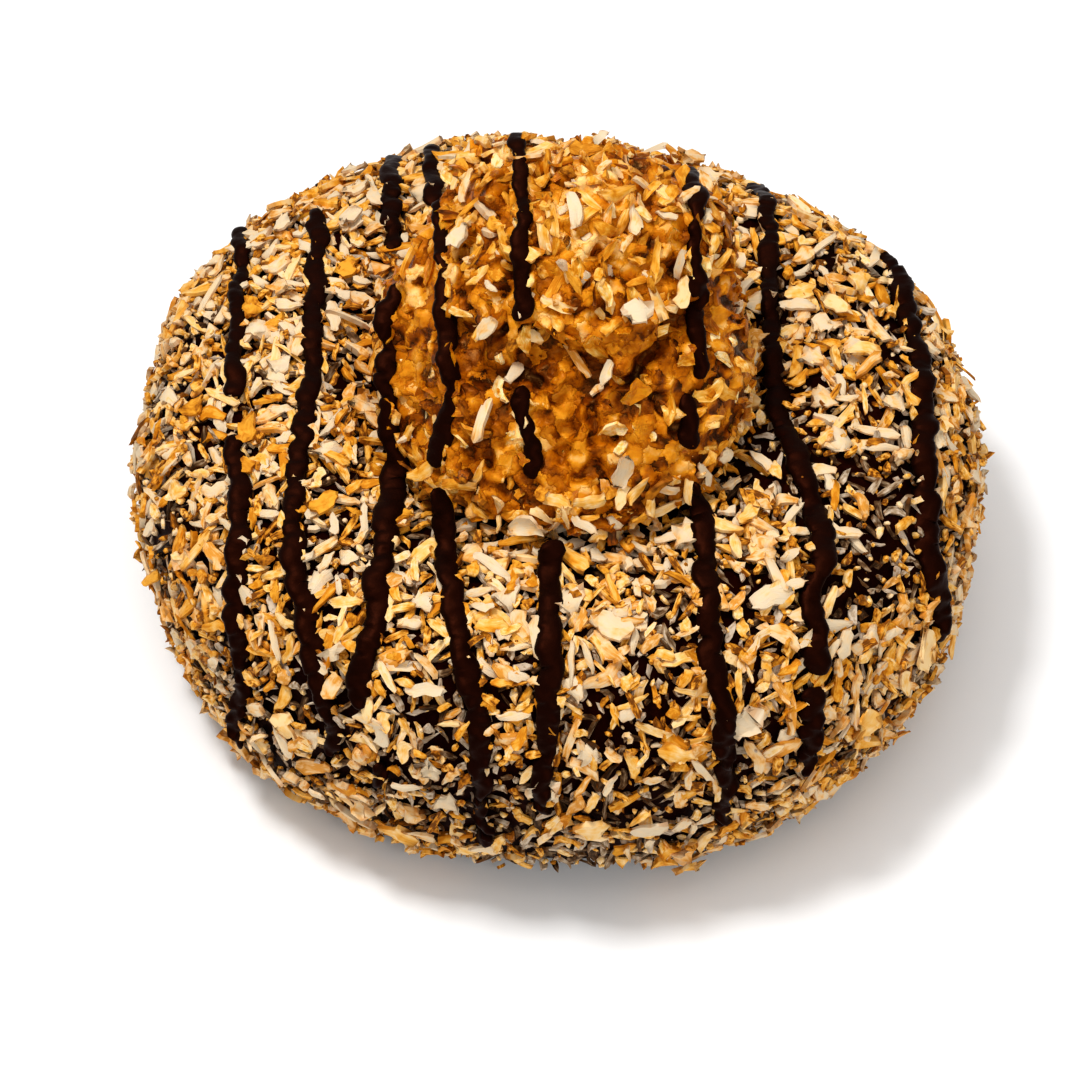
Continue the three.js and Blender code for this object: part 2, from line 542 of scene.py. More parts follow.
# %% A sample with a crisp rim
def sample(name, points, faces, place, sharp_within):
    """A mesh object that is only copied from. Points before sharp_within lie on its top skin."""
    mesh = bpy.data.meshes.new(name)
    mesh.from_pydata([Vector(point) for point in points], [], faces)
    uv = mesh.uv_layers.new(name="OFBake")
    for loop in mesh.loops:
        uv.data[loop.index].uv = place[loop.vertex_index]
    mesh.shade_smooth()
    rims = [set(face) for face in faces if min(face) < sharp_within <= max(face)]
    for edge in mesh.edges:
        a, b = edge.vertices
        same_skin = (a < sharp_within) == (b < sharp_within)
        edge.use_edge_sharp = same_skin and any(a in rim and b in rim for rim in rims)
    return bpy.data.objects.new(name, mesh)


# %% [markdown]
# A flake is a thin strip: a grid of points on top, and an underside that needs points at its two sides only.
# Its faces are the same for every flake, so they are listed first, each by the numbers of its corners. The
# corners run anticlockwise as seen from outside, so that all faces point outwards.


# %% Faces of a strip
def strip_faces(count, cells, cells_across):
    """Top, underside, two sides and two ends of a strip with count points on top."""
    row = cells_across + 1
    faces = []
    for step in range(cells):
        a, b, u, v = row * step, row * (step + 1), count + 2 * step, count + 2 * step + 2
        faces += [(a + n, b + n, b + n + 1, a + n + 1) for n in range(cells_across)]
        faces += [(u + 1, v + 1, v, u), (u, v, b, a), (v + 1, u + 1, a + cells_across, b + cells_across)]
    faces.append((count + 1, count, *range(row)))
    faces.append((count + 2 * cells, count + 2 * cells + 1, *range(count - 1, count - row - 1, -1)))
    return faces


# %% [markdown]
# Shredded coconut is shaved off in thin ragged strips that bend and curl as they dry. The outline narrows
# unevenly to two blunt ends, and the strip bows, curls, cups and twists by amounts drawn from a seeded
# generator. A bent plane would be simpler, but has no thickness to catch the light.

# %% Shave a flake
RAGGED_SIDES = 0.06
RAGGED_ENDS = 0.1
ROUNDED_END = 0.22
BLUNTNESS = (0.3, 0.85)  # the width of an end, as a share of the middle's
SLANT = 0.2  # how far an end is cut askew
BENDS = (0.07, 0.13, 0.16, 0.4, 0.25)  # how much strips bow, curl, cup, twist and thin to one side
THINNER = 0.2  # the share of the thickness that is lost at a side and at an end
PATCHINESS = (0.8, 1.2)  # how the thickness varies from point to point


def shave(name, draw, length, width, thickness, cells, cells_across=2):
    """A closed, ragged, bent strip along X."""
    blunt = draw.uniform(*BLUNTNESS, 2)
    cut = draw.normal(0, SLANT, 2)
    bow, curl, cup, twist, wedge = draw.normal(0, BENDS)
    top, under, top_place, under_place = [], [], [], []
    for along in np.sin(np.linspace(-1, 1, cells + 1) * math.pi / 2):
        end = int(along > 0)
        narrow = 1 - (1 - blunt[end]) * abs(along) ** 3
        sway = draw.normal(0, RAGGED_SIDES) * width
        for side in np.linspace(-1, 1, cells_across + 1):
            ragged = draw.normal(0, (RAGGED_ENDS, RAGGED_SIDES)) * width
            x = along * (length / 2 - ROUNDED_END * side**2 * width)
            x += cut[end] * side * along**2 * width / 2 + ragged[0]
            y = side * narrow * width / 2 + bow * length * (along**2 - 0.4) + sway + ragged[1]
            z = curl * length * along**2 / 2 + cup * width * side**2
            z += math.sin(twist * along) * side * width / 2
            thin = (1 - THINNER * side**2) * (1 - THINNER * along**2) * (1 + wedge * side)
            thin *= draw.uniform(*PATCHINESS)
            top.append((x, y, z + thickness / 2 * thin))
            top_place.append((side / 2 + 0.5, along / 2 + 0.5))
            if abs(side) == 1:
                under.append((x, y, z - thickness / 2 * thin))
                under_place.append(top_place[-1])
    faces = strip_faces(len(top), cells, cells_across)
    return sample(name, top + under, faces, top_place + under_place, sharp_within=len(top))


# %% [markdown]
# Rolling also leaves crumbs: small lumps with a handful of facets. An icosphere whose points are pulled in
# and out has enough of them at 20 triangles.

# %% Chip off a crumb
CRUMB_STRETCH = (0.6, 1.5)
CRUMB_DENTS = (0.75, 1.25)
CARD_REACH = 1.2  # the part of the colour card that a crumb covers, compared with its size


def chip_off(name, draw, size):
    shape = bmesh.new()
    bmesh.ops.create_icosphere(shape, subdivisions=1, radius=size / 2)
    stretch = draw.uniform(*CRUMB_STRETCH, 3)
    for vertex in shape.verts:
        vertex.co = Vector(np.array(vertex.co) * stretch * draw.uniform(*CRUMB_DENTS))
    points = [tuple(vertex.co) for vertex in shape.verts]
    faces = [tuple(vertex.index for vertex in face.verts) for face in shape.faces]
    shape.free()
    reach = CARD_REACH * size
    place = [(point[0] / reach + 0.5, point[2] / reach + 0.5) for point in points]
    return sample(name, points, faces, place, sharp_within=0)


# %% [markdown]
# Toasted coconut as it comes from the bag holds long flakes, wide chips, thin slivers and crumbs. The
# macaroon is made of wider, softer shreds. Each kind's sizes are drawn between two limits, and its samples
# go into a collection of their own that isn't part of the scene.


# %% Fill a tray with each kind
def tray(name, samples):
    made = bpy.data.collections.new(name)
    for item in samples:
        made.objects.link(item)
    return made


def shaved_tray(name, seed, count, lengths, widths, thicknesses, *cells):
    """A tray of flakes. Each of its sizes is given as a smallest and a largest one, in millimetres."""
    draw = np.random.default_rng(seed)
    flakes = []
    for number in range(count):
        sizes = [draw.uniform(*limits) * MM for limits in (lengths, widths, thicknesses)]
        flakes.append(shave(f"{name}_{number}", draw, *sizes, *cells))
    return tray(name, flakes)


KINDS = [  # name, seed, number of samples, limits of length, width and thickness, cells along and across
    ("flakes", 1, 24, (2.0, 4.2), (0.6, 1.3), (0.35, 0.6), 5),
    ("chips", 2, 10, (2.2, 3.8), (1.6, 2.8), (0.35, 0.55), 5, 4),
    ("slivers", 3, 18, (1.2, 3.0), (0.35, 0.8), (0.28, 0.48), 3, 1),
    ("shreds", 4, 20, (1.8, 4.2), (0.9, 1.9), (0.35, 0.6), 5),
]
CRUMBS = 8
CRUMB_SIZES = (0.5, 1.0)

trays = {kind[0]: shaved_tray(*kind) for kind in KINDS}
crumb_draw = np.random.default_rng(5)
crumbs = [chip_off(f"crumb_{number}", crumb_draw, crumb_draw.uniform(*CRUMB_SIZES) * MM)
          for number in range(CRUMBS)]
trays["crumbs"] = tray("crumbs", crumbs)

# %% [markdown]
# ## A colour card for thousands of flakes
#
# Each flake is toasted differently, yet all flakes of a kind share one mesh and one material. Their UV map
# is used as a colour card with 24 columns: a flake lies in one column, which sets how toasted it is, and
# its place within the column says where on the flake a point lies, across and along. So tips and edges can
# brown more than the middle, as they do in an oven, and nothing depends on where the flake ended up.

# %% The coconut's colour card
COLUMNS = 24
MARGIN = 0.1
BROWN = (162, 92, 16)


def toasted(palette, browning, glow=0.0, wet=False):
    """Fills a coconut finish from a palette, pale to toasted, and how strongly tips and edges brown."""

    def fill(tree):
        spot = axes(tree.node("ShaderNodeUVMap", {"uv_map": "OFBake"}))
        column = spot.out("X") * COLUMNS
        shade = maths("FLOOR", column)
        across = (column - shade - MARGIN) / (1 - 2 * MARGIN)
        along = spot.out("Y")
        blotch = grain(vector(across * 1.9, along * 3.2, shade * 3.7), 1.0)
        thread = grain(vector(across * 9.0, along * 3.0, shade * 5.1), 1.0, 3.0)
        tip = maths("ABSOLUTE", 2 * along - 1) ** 3.0
        edge = maths("ABSOLUTE", 2 * across - 1) ** 4.0
        tone = (shade + 0.5) / COLUMNS + 1.8 * (blotch - 0.5) + 0.8 * (thread - 0.5)
        brown = between(blotch * (0.4 + 0.6 * tip + 0.35 * edge), 0.36, 0.66) * browning
        colour = tree.node("ShaderNodeMix", {"data_type": "RGBA"},
                           {"Factor": brown, "A": ramp(tone, palette), "B": srgb(*BROWN)})
        return {"Base Color": colour, "Roughness": 0.15 + 0.3 * blotch if wet else 0.5 + 0.25 * blotch,
                "Normal": bump(thread, 0.6, 0.15 * MM), "IOR": 1.4, "Specular Tint": srgb(255, 214, 160),
                "Subsurface Weight": glow, "Subsurface Radius": (1.0, 0.6, 0.3), "Subsurface Scale": 0.6 * MM}

    return fill


# %% [markdown]
# Seven finishes come from that one function. Dry flakes are pale, golden or browned, small bits are mixed,
# and shards that lie low in the chocolate are smeared with it and painted greyer and darker, as painted
# shade of the lower layers. In the macaroon, shreds are soaked gold or dark with syrup, and wet.

# %% The coconut's palettes
PALE = [(0.0, (218, 198, 168)), (0.4, (226, 198, 158)), (0.72, (232, 186, 126)), (1.0, (214, 146, 58))]
GOLDEN = [(0.0, (238, 204, 150)), (0.4, (234, 181, 96)), (0.75, (224, 156, 48)), (1.0, (202, 126, 22))]
BROWNED = [(0.0, (228, 162, 54)), (0.4, (200, 130, 30)), (0.75, (152, 90, 16)), (1.0, (96, 52, 8))]
MIXED = [(0.0, (244, 214, 172)), (0.3, (242, 198, 124)), (0.6, (230, 164, 60)), (0.85, (188, 118, 26)),
         (1.0, (110, 60, 10))]
# painted shade in part: these shards are greyed and darkened for the shade of the lower layers, besides the
# chocolate smeared on them
SMEARED_AND_PAINTED_SHADE = [(0.0, (206, 188, 166)), (0.35, (164, 140, 112)), (0.65, (104, 76, 50)), (1.0, (44, 24, 12))]
SOAKED = [(0.0, (250, 216, 160)), (0.25, (236, 180, 90)), (0.6, (212, 138, 24)), (1.0, (166, 90, 0))]
SYRUPY = [(0.0, (206, 130, 20)), (0.4, (166, 88, 2)), (0.75, (116, 54, 0)), (1.0, (70, 28, 0))]
coconut = {
    "pale": finish("pale_coconut", toasted(PALE, 0.45)),
    "golden": finish("golden_coconut", toasted(GOLDEN, 0.6)),
    "browned": finish("browned_coconut", toasted(BROWNED, 0.6)),
    "mixed": finish("mixed_coconut", toasted(MIXED, 0.45)),
    "smeared": finish("smeared_coconut", toasted(SMEARED_AND_PAINTED_SHADE, 0.3)),
    "soaked": finish("soaked_coconut", toasted(SOAKED, 0.35, glow=0.3, wet=True)),
    "syrupy": finish("syrupy_coconut", toasted(SYRUPY, 0.2, glow=0.3, wet=True)),
}
print("coconut finishes:", *coconut)

# %% [markdown]
# ## Rolling the ring in coconut
#
# Wherever the wet chocolate touches the tray of coconut, flakes stick at random, flat or on edge, one on
# top of the other. A particle system could do this, but one Geometry Nodes recipe does it for every kind
# and keeps its inputs in view: it drops points on a surface no closer than a spacing, turns, tilts, lifts
# and scales a sample at each, and writes its column of the colour card. How likely a flake sticks is an
# attribute of the surface, named `cover`. The copies are made real before the card is written, because only
# real corners have a place on it.

# %% The scattering recipe
TRIES = 3  # points for each square of one spacing, so that hardly a free spot is left


def scattering():
    tree = Recipe("scattering", "Spacing", "Smallest", "Largest", "Tilt", "Lowest", "Highest", "Above",
                  Seed="Int", Samples="Collection")
    spacing, tilt = tree["Spacing"], tree["Tilt"]
    height = axes(tree.node("GeometryNodeInputPosition")).out("Z")

    def chance(low, high, salt, kind="FLOAT"):
        """A random value for each point, with its own salt added to the seed."""
        return tree.node("FunctionNodeRandomValue", {"data_type": kind},
                         {"Min": low, "Max": high, "Seed": tree["Seed"] + salt})

    points = tree.node("GeometryNodeDistributePointsOnFaces", {"distribute_method": "POISSON"}, {
        "Mesh": tree["Surface"], "Distance Min": spacing, "Density Max": TRIES / (spacing * spacing),
        "Density Factor": tree.read("cover"), "Seed": tree["Seed"]})
    clear = tree.node("GeometryNodeDeleteGeometry", {}, {
        "Geometry": points, "Selection": maths("LESS_THAN", height, tree["Above"])})
    lifted = tree.move(clear, scaled(points.out("Normal"), chance(tree["Lowest"], tree["Highest"], 1)))
    turn = vector(chance(0 - tilt, tilt, 2), chance(0 - tilt, tilt, 3), chance(0.0, 2 * math.pi, 4))
    rotation = tree.node("FunctionNodeRotateRotation", {"rotation_space": "LOCAL"}, {
        "Rotation": points.out("Rotation"),
        "Rotate By": tree.node("FunctionNodeEulerToRotation", {}, {"Euler": turn})})
    size = vector(*(chance(tree["Smallest"], tree["Largest"], salt) for salt in (5, 6, 7)))
    samples = tree.node("GeometryNodeCollectionInfo", {}, {
        "Collection": tree["Samples"], "Separate Children": True, "Reset Children": True})
    placed = tree.node("GeometryNodeInstanceOnPoints", {}, {
        "Points": lifted, "Instance": samples, "Pick Instance": True,
        "Instance Index": chance(0, 999, 8, "INT"), "Rotation": rotation, "Scale": size})
    in_column = tree.write(placed, "column", chance(0, COLUMNS - 1, 9, "INT"), "INSTANCE")
    real = tree.node("GeometryNodeRealizeInstances", {}, {"Geometry": in_column})
    spot = axes(tree.read("OFBake", "FLOAT_VECTOR"))
    across = (tree.read("column") + MARGIN + (1 - 2 * MARGIN) * spot.out("X")) / COLUMNS
    return tree.serve(tree.write(real, "OFBake", vector(across, spot.out("Y")), "CORNER", "FLOAT2"))


scatter = scattering()
print("the scattering recipe has", len(scatter.node_tree.nodes), "nodes")

# %% [markdown]
# The tray's coconut reaches nearly all of the ring, but little of it sticks to the base, in the hole or
# under the macaroon. Painting those weights by hand would tie them to one mesh. A rule that is worked out
# for each point from its place and its normal fits any mesh.

# %% Where anything sticks to the ring
FOOT_BARE = 0.5 * MM
FOOT_FULL = 4 * MM
HOLE_REACH = 12 * MM
UNDER_REACH = 4 * MM
FACES_DOWN = -0.75  # the normal's Z, below which a face belongs to the base
ON_BASE, IN_HOLE, UNDER_MACAROON = 0.15, 0.35, 0.1  # the share that sticks there

core_surface = surface_of(core)


def smooth(value, low, high):
    """0 at low, 1 at high, and smooth between."""
    share = min(1.0, max(0.0, (value - low) / (high - low)))
    return share * share * (3 - 2 * share)


def mark(piece, name, rule):
    """Stores a number at each point of a piece, worked out from its place and normal. Returns the mean."""
    values = [rule(vertex.co, vertex.normal) for vertex in piece.data.vertices]
    attribute = piece.data.attributes.get(name) or piece.data.attributes.new(name, "FLOAT", "POINT")
    attribute.data.foreach_set("value", values)
    return sum(values) / len(values)


def touches_tray(place, normal):
    """How likely anything sticks at a place on the ring."""
    chance = 0.3 + 0.7 * smooth(place.z, FOOT_BARE, FOOT_FULL)
    if normal.z < FACES_DOWN:
        chance *= ON_BASE
    if math.hypot(place.x, place.y) < HOLE_REACH:
        chance *= IN_HOLE
    if core_surface.ray_cast(place, Vector((0, 0, 1)), UNDER_REACH)[0] is not None:
        chance *= UNDER_MACAROON
    return chance


print("mean cover of crumbs:", round(mark(coat, "cover", touches_tray), 2))

# %% [markdown]
# Whole flakes leave small gaps everywhere, and larger thin patches where they were knocked off. Golden and
# pale flakes also drift apart, so that one part of the ring looks more toasted than the next. Small gaps
# and drifts are noise. Thin patches are few and easily seen, so each is a ball with a place of its own.

# %% Where whole flakes stick
THIN_PATCHES = [  # middle and reach in millimetres, then the share that is missing there, or added below 0
    ((36, -15, 31), 10, 0.95), ((30.5, -23, 33.5), 7, 0.8), ((27, -16, 36), 6, 0.6), ((21, -11, 36), 6, 0.85),
    ((-25, -34, 27), 8, 0.6), ((-10, -38, 28), 8, 0.45), ((9, -37, 30), 7, 0.4), ((-7, -44, 18), 9, 0.5),
    ((6, -44.5, 18), 9, 0.5), ((2, -41, 4), 12, 0.9), ((-33, -31, 20), 7, 0.5), ((-45, 5, 23), 9, 0.6),
    ((-43.5, -12, 24), 8, 0.6), ((-34, -7, 34), 5, 0.3), ((31, 12, 35), 9, 0.4), ((-27, 17, 35.5), 12, -0.9),
    ((-20, 31, 34), 11, -0.6)]
GAPS_APART = 3.2 * MM
DRIFT = 9 * MM


def sticks_to_ring(place, normal):
    chance = touches_tray(place, normal) * (0.6 + 0.4 * smooth(normal.z, 0.1, 0.8))
    chance *= 0.4 + 0.6 * smooth(noise.noise(place / GAPS_APART), -0.3, 0.1)
    for middle, reach, thin in THIN_PATCHES:
        distance = (place / MM - Vector(middle)).length
        chance *= 1 - thin * (1 - smooth(distance, 0.4 * reach, reach))
    return chance


def sticks_in_drifts(sign):
    """The rule for a kind that lies thicker in some places. The other sign's kind lies thinner there."""

    def rule(place, normal):
        drift = noise.noise(place / DRIFT + Vector((7, 3, 5))) + 0.3 * smooth(place.y, 22 * MM, 34 * MM)
        return sticks_to_ring(place, normal) * (0.45 + 0.55 * smooth(sign * drift, -0.35, 0.15))

    return rule


# %% [markdown]
# Now the kinds are strewn from the smallest to the largest, as they settle in a real roll: shards and
# crumbs in the chocolate, slivers between them, whole flakes on top. Each kind is one piece, and each has
# its own seed.


# %% Scatter the kinds over the ring
def strew(name, surface, samples, material, seed, spacing, sizes, tilt, lifts, above=0.0):
    """Scatters one kind as one piece. Spacing, lifts and the lowest place, above, are in millimetres."""
    piece = cook(name, surface, scatter, Samples=trays[samples], Finish=coconut[material], Seed=seed,
                 Spacing=spacing * MM, Smallest=sizes[0], Largest=sizes[1], Tilt=tilt, Lowest=lifts[0] * MM,
                 Highest=lifts[1] * MM, Above=above * MM)
    for leftover in ("column", "cover"):
        if leftover in piece.data.attributes:
            piece.data.attributes.remove(piece.data.attributes[leftover])
    hand_in(piece)
    return piece


ring_coconut = [
    # painted shade in part: the lowest shards take the greyed and darkened palette
    strew("coconut_smeared_shards", coat, "slivers", "smeared",
          seed=71, spacing=1.25, sizes=(0.6, 1.5), tilt=0.6, lifts=(-0.1, 0.5), above=2.2),
    strew("coconut_crumbs", coat, "crumbs", "mixed",
          seed=11, spacing=1.5, sizes=(0.6, 1.4), tilt=1.5, lifts=(-0.2, 0.9), above=1.4),
]
print("mean cover of whole flakes:", round(mark(coat, "cover", sticks_to_ring), 2))
ring_coconut += [
    strew("coconut_slivers", coat, "slivers", "mixed",
          seed=21, spacing=1.2, sizes=(0.7, 1.5), tilt=0.5, lifts=(0.1, 1.3), above=2.8),
    strew("coconut_browned_flakes", coat, "flakes", "browned",
          seed=41, spacing=3.2, sizes=(0.55, 1.1), tilt=0.4, lifts=(0.3, 1.5), above=3.6),
    strew("coconut_chips", coat, "chips", "pale",
          seed=61, spacing=5.0, sizes=(0.7, 1.25), tilt=0.25, lifts=(0.9, 1.5), above=4.2),
]
for colour, sign, seed, lifts in (("golden", 1, 31, (0.3, 1.5)), ("pale", -1, 51, (0.5, 1.6))):
    mark(coat, "cover", sticks_in_drifts(sign))
    ring_coconut.append(strew(f"coconut_{colour}_flakes", coat, "flakes", colour, seed=seed, spacing=1.6,
                              sizes=(0.65, 1.4), tilt=0.3, lifts=lifts, above=3.8))

# %% [markdown]
# The largest flakes are what the eye finds first. Scattered, they would land anywhere, so they are set down
# one by one, at listed places.

# %% Places of the largest flakes
RING_LARGE_PALE = [  # place, then turn in degrees, then length and width; lengths in millimetres
    ((19, -38, 28), 35, 4.2, 3.2), ((-24.5, -9, 36), 10, 3.0, 2.4), ((5.5, -31.5, 36), -15, 5.0, 2.8),
    ((-13.5, -37, 32), 0, 4.2, 1.4), ((36, -2, 35), 40, 2.6, 2.2), ((-22.5, 22.5, 36), 50, 3.2, 1.7),
    ((-24, 9, 36), 95, 4.0, 1.5), ((-27.5, 6, 36), 85, 4.8, 1.5), ((26, 10.5, 36), 0, 4.0, 1.4),
    ((28.5, 8, 36), 60, 2.8, 2.2), ((22, -27.5, 35.5), 25, 5.0, 2.2), ((-2, -32.5, 35.5), 95, 5.0, 1.6),
    ((9.5, -44, 17), 5, 4.0, 1.5), ((41, -4.5, 32), 30, 2.2, 2.0), ((-30.5, 17, 35.5), 20, 3.4, 1.8),
    ((-30, 23, 34.5), 60, 3.2, 1.6), ((-22, 28, 34.5), 35, 3.6, 1.7)]
RING_LARGE_GOLDEN = [
    ((39, -25, 22), -60, 4.6, 3.4), ((14, -42, 5), 10, 3.8, 2.8), ((-17, -41, 11), 0, 4.4, 3.0),
    ((3.5, -45, 17.5), 0, 4.0, 2.8), ((32.5, -33.5, 20), 20, 4.0, 3.6), ((-28.5, -34.5, 21), -30, 3.0, 2.6),
    ((33, 15, 35), 80, 3.6, 2.0), ((15.5, -16.5, 36), 30, 3.4, 1.4), ((17.5, -19, 36), -25, 3.8, 1.3),
    ((20, -17.5, 36), 65, 3.4, 1.5), ((18.5, -21.5, 36), 100, 3.2, 1.2), ((26.5, 12.5, 36), 20, 3.6, 1.8),
    ((30, 10.5, 35.5), -30, 3.6, 1.8), ((32.5, 4.5, 35), 10, 4.2, 1.6), ((12.5, -41.5, 26.5), -20, 4.4, 1.8)]
RING_LARGE_BROWNED = [
    ((-22.5, 15.5, 36), 40, 3.2, 2.2), ((-33, 11, 34.5), 100, 3.0, 2.4), ((-38, -1, 32), 15, 3.0, 2.0),
    ((-33, -5.5, 35), 80, 3.4, 2.0), ((-33.5, -9.5, 34), -20, 4.0, 1.8), ((-24.5, -16, 36), 30, 3.6, 1.8),
    ((-16.5, -17.5, 36), -10, 3.4, 1.6)]
print(len(RING_LARGE_PALE + RING_LARGE_GOLDEN + RING_LARGE_BROWNED), "large flakes for the ring")

# %% [markdown]
# Each is shaved like the others, then one matrix lays it flat: its columns are the directions along the
# flake, across it and out of the surface. In turn, the flakes also take the columns of the paler half of
# the colour card.

# %% Set down the largest flakes
LARGE_THICKNESS = 0.55 * MM
LARGE_CELLS = (6, 3)  # along and across
PALER_COLUMNS = 12  # the paler half of the colour card
COLUMN_STEP = 5  # from one flake to the next, so that neighbours in a list differ


def lay_flat(flake, surface, place, turn, lift):
    """Moves a flake's mesh to the nearest place on a surface, flat on it and turned by degrees."""
    foot, normal = surface.find_nearest(place)[:2]
    side = normal.cross(Vector((1, 0, 0))).normalized()
    along = side.cross(normal) * math.cos(math.radians(turn)) + side * math.sin(math.radians(turn))
    lie = Matrix((along, normal.cross(along), normal)).transposed().to_4x4()
    flake.data.transform(Matrix.Translation(foot + normal * lift) @ lie)


def set_down(name, spots, base, material, seed, lift):
    """Large flakes, each at its own place on the piece base, as one piece. The lift is in millimetres."""
    draw = np.random.default_rng(seed)
    surface = surface_of(base)
    whole = bmesh.new()
    for number, (place, turn, length, width) in enumerate(spots):
        flake = shave("large_flake", draw, length * MM, width * MM, LARGE_THICKNESS, *LARGE_CELLS)
        lay_flat(flake, surface, Vector(place) * MM, turn, lift * MM)
        column = COLUMN_STEP * number % PALER_COLUMNS
        for corner in flake.data.uv_layers["OFBake"].data:
            across, along = corner.uv
            corner.uv = (column + MARGIN + (1 - 2 * MARGIN) * across) / COLUMNS, along
        whole.from_mesh(flake.data)
    mesh = bpy.data.meshes.new(name)
    whole.to_mesh(mesh)
    whole.free()
    mesh.materials.append(coconut[material])
    piece = add(name, mesh)
    hand_in(piece)
    return piece


ring_coconut += [
    set_down("coconut_large_pale_flakes", RING_LARGE_PALE, coat, "pale", seed=13, lift=1.7),
    set_down("coconut_large_golden_flakes", RING_LARGE_GOLDEN, coat, "golden", seed=14, lift=1.7),
    set_down("coconut_large_browned_flakes", RING_LARGE_BROWNED, coat, "browned", seed=16, lift=1.6),
]

# %% [markdown]
# ## The macaroon's sticky heap
#
# In the macaroon the same coconut is soaked in syrup, so its shreds have soft edges and run together. Noise
# alone looks like clay. So real shreds are scattered half sunk into the core, thick on the clumps and few
# in the pits, before all is melted together.

# %% Press shreds into the core
PIT_DEPTH = 0.15  # a place with less rise than this is in a pit
COVER_IN_PITS = 0.08

rises = np.zeros(len(core.data.vertices), np.float32)
core.data.attributes["rise"].data.foreach_get("value", rises)
covers = np.where(rises > PIT_DEPTH, 1.0, COVER_IN_PITS).astype(np.float32)
core.data.attributes.new("cover", "FLOAT", "POINT").data.foreach_set("value", covers)
shreds = cook("shreds", core, scatter, Samples=trays["shreds"], Finish=moist, Spacing=2.0 * MM, Seed=71,
              Smallest=0.7, Largest=1.3, Tilt=0.5, Lowest=-0.3 * MM, Highest=0.4 * MM, Above=0.0)
print("shreds:", triangles(shreds), "triangles")

# %% [markdown]
# Core and shreds are joined and voxel remeshed to one skin, which melts them together as syrup does. A
# remesh forgets every attribute, so a second recipe reads back from the parts how pale each place was, and
# blurs it by one step.


# %% Join the parts, and read them back
def heaping():
    """Core and shreds as one geometry, with their paleness in an attribute."""
    tree = Recipe("heaping", Shreds="Object")
    shreds = tree.node("GeometryNodeObjectInfo", {}, {"Object": tree["Shreds"]}, "Geometry")
    paler = tree.write(shreds, "pale", 0.25 + 0.75 * (tree.read("column") / COLUMNS) ** 2.0)
    # the core's paleness is its rise, low in the pits: partly the syrup's colour, partly painted shade
    darker = tree.write(tree["Surface"], "pale", tree.read("rise"))
    return tree.serve(tree.node("GeometryNodeJoinGeometry", {}, {"Geometry": [paler, darker]}))


def reading_back():
    """The paleness of the nearest place on the parts that the skin was made from."""
    tree = Recipe("reading back", Parts="Object", Blur="Int")
    parts = tree.node("GeometryNodeObjectInfo", {}, {"Object": tree["Parts"]}, "Geometry")
    nearest = tree.node("GeometryNodeSampleNearestSurface", {"data_type": "FLOAT"}, {
        "Mesh": parts, "Value": tree.read("pale"), "Sample Position": tree.node("GeometryNodeInputPosition")})
    soft = tree.node("GeometryNodeBlurAttribute", {"data_type": "FLOAT"},
                     {"Value": nearest, "Iterations": tree["Blur"]})
    return tree.serve(tree.write(tree["Surface"], "pale", soft))


# %% [markdown]
# The voxels are a third of a millimetre wide: small enough to keep the shreds' edges, and large enough to
# keep the heap under 200,000 triangles. One light Smooth takes the steps out of the voxels.

# %% Melt them together
HEAP_VOXEL = 0.35 * MM

parts = cook("parts", core, heaping(), Shreds=shreds, Finish=moist)
skin = even_out(add("skin", parts.data.copy()), HEAP_VOXEL)
soften = skin.modifiers.new("soften", "SMOOTH")
soften.factor = 0.4
soften.iterations = 1
heap = cook("macaroon_heap", settle(skin), reading_back(), Parts=parts, Blur=1, Finish=moist)
for leftover in (skin, parts, shreds):
    bpy.data.objects.remove(leftover)
heap.data.shade_smooth()
hand_in(heap)
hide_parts("macaroon")

# %% [markdown]
# The shreds that were pressed in last have not melted together. Their crisp torn edges stand out of the
# heap, dark and syrupy low down, paler where they stick out and have begun to dry. They are strewn as the
# flakes were, but sunk in.

# %% Press crisp shreds into the heap
soaked_shreds = [
    strew("macaroon_syrupy_shreds", core, "shreds", "syrupy",
          seed=75, spacing=2.6, sizes=(0.6, 1.2), tilt=0.4, lifts=(-0.4, 0.1)),
    strew("macaroon_soaked_shreds", core, "shreds", "soaked",
          seed=77, spacing=2.6, sizes=(0.6, 1.2), tilt=0.4, lifts=(-0.3, 0.3)),
]

# %% [markdown]
# Dry toasted flakes from the roll lie loose on top of the macaroon, a few stick to its sides, and a collar
# of them is caught where it meets the ring. The rule for them follows the height, and the largest are again
# set down one by one.

# %% Strew dry flakes over the macaroon
COLLAR = ring_high + 2 * MM
MACAROON_LARGE_PALE = [
    ((8, -6.5, 55.5), 20, 3.2, 2.6), ((6.5, -16.5, 44), 80, 4.6, 1.8), ((-7.2, -13.5, 47), 72, 6.2, 1.1),
    ((2, 1.5, 62), 95, 4.2, 1.4), ((7.5, 1, 61), 100, 3.2, 1.3), ((-0.5, -3.5, 59), -5, 3.6, 0.9),
    ((5.5, -10.5, 50.5), 65, 3.0, 1.0), ((-7, -7, 54), 55, 3.4, 1.6), ((-10, 2.5, 57), 20, 3.0, 2.2),
    ((-3, -21, 38.5), 10, 4.4, 2.2)]


def sticks_to_macaroon(place, normal):
    on_crown = smooth(place.z, 50 * MM, 60 * MM) * smooth(normal.z, 0.15, 0.65)
    in_collar = 1 - smooth(abs(place.z - COLLAR), 1 * MM, 4 * MM)
    return min(1.0, on_crown + 0.8 * in_collar + 0.05)


